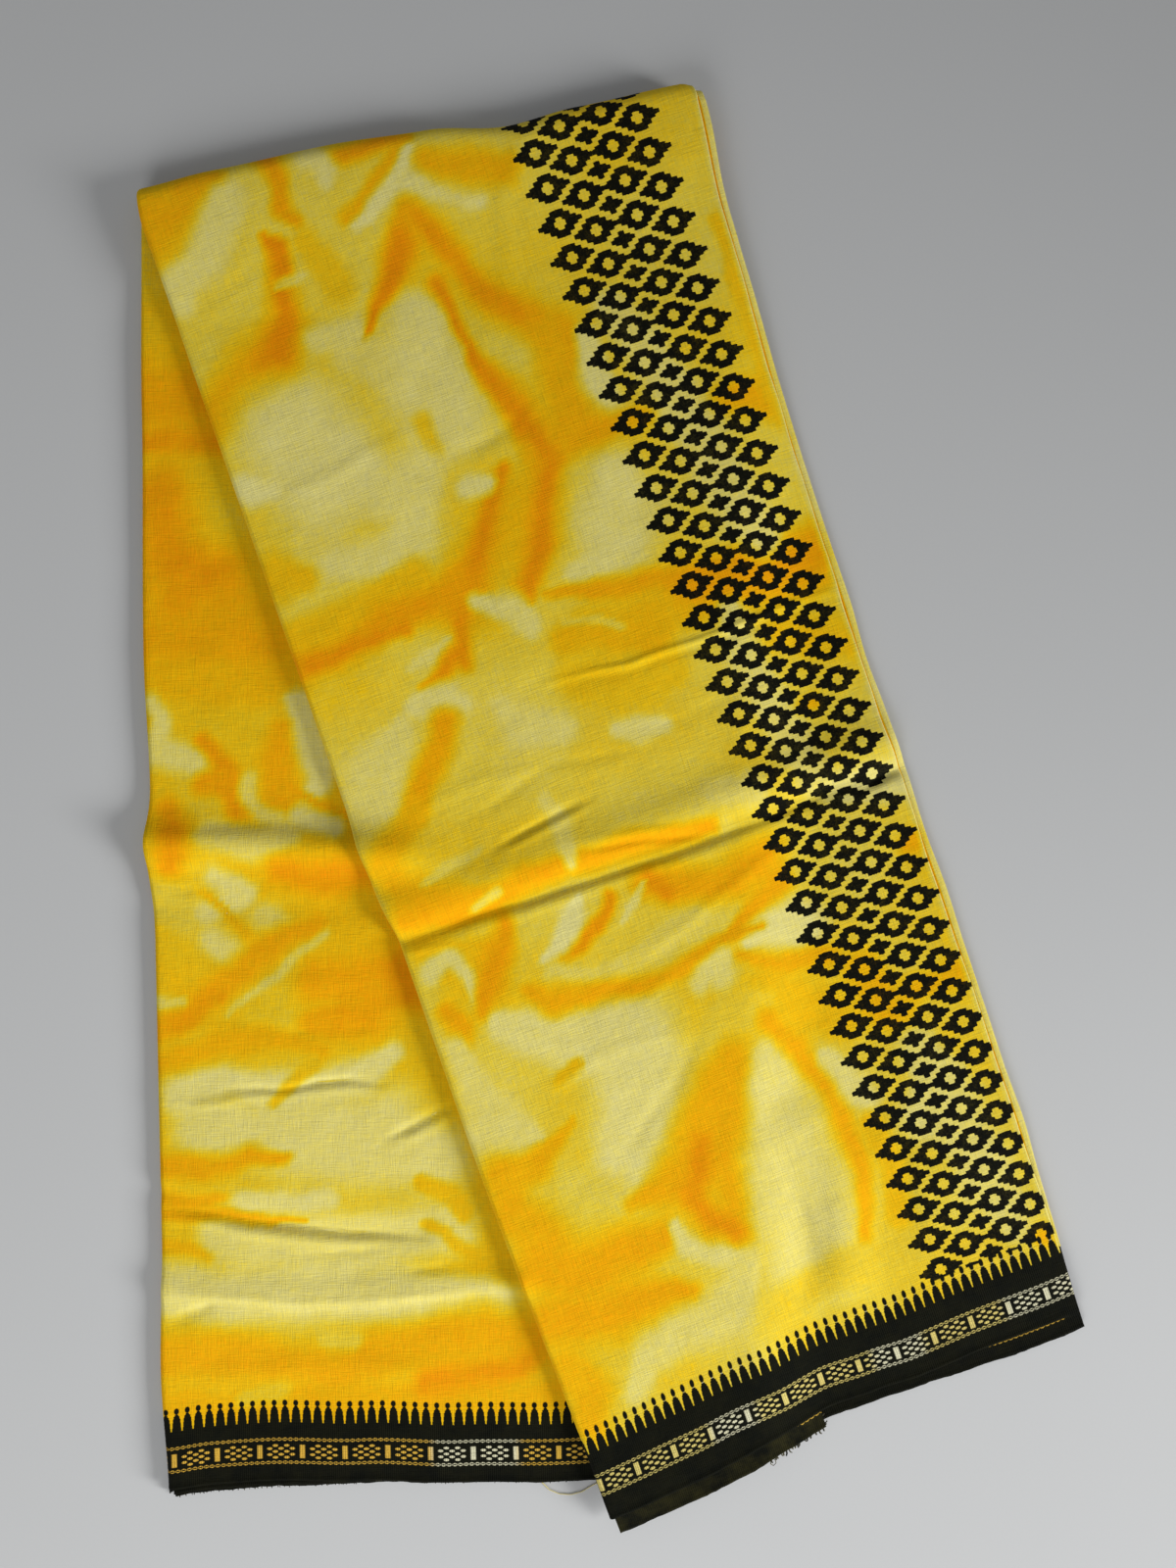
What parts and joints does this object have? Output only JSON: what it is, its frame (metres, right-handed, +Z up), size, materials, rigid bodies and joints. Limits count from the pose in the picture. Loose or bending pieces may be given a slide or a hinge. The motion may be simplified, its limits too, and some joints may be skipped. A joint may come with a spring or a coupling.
{
  "type": "folded lungi",
  "caption": "Cotton lungi folded into a long strip and folded again slantwise, with a dyed and block-printed face and woven black borders.",
  "frame": {"origin": "on the surface it lies on, under the middle of the folded packet's bounding box", "axes": "+Y runs along the folded length from the hems to the top fold, +Z up, +X to the printed edge's side"},
  "size_m": [0.4196, 0.6372, 0.0159],
  "materials": {
    "dyed_cloth": "plain-weave cotton, clump-dyed in yellow and orange over cream, with a black block print",
    "black_border": "woven black cotton border with yellow extra-weft lines, boxes and spires"
  },
  "bodies": {
    "root": {"printed_leaf": "dyed_cloth", "plain_leaf": "dyed_cloth", "inner_folds": "dyed_cloth", "printed_leaf_border": "black_border", "second_leaf_border": "black_border", "end_panel_border": "black_border", "front_under_border": "black_border", "plain_leaf_border": "black_border", "rear_third_border": "black_border", "rear_second_border": "black_border", "rear_under_border": "black_border"}
  },
  "joints": []
}
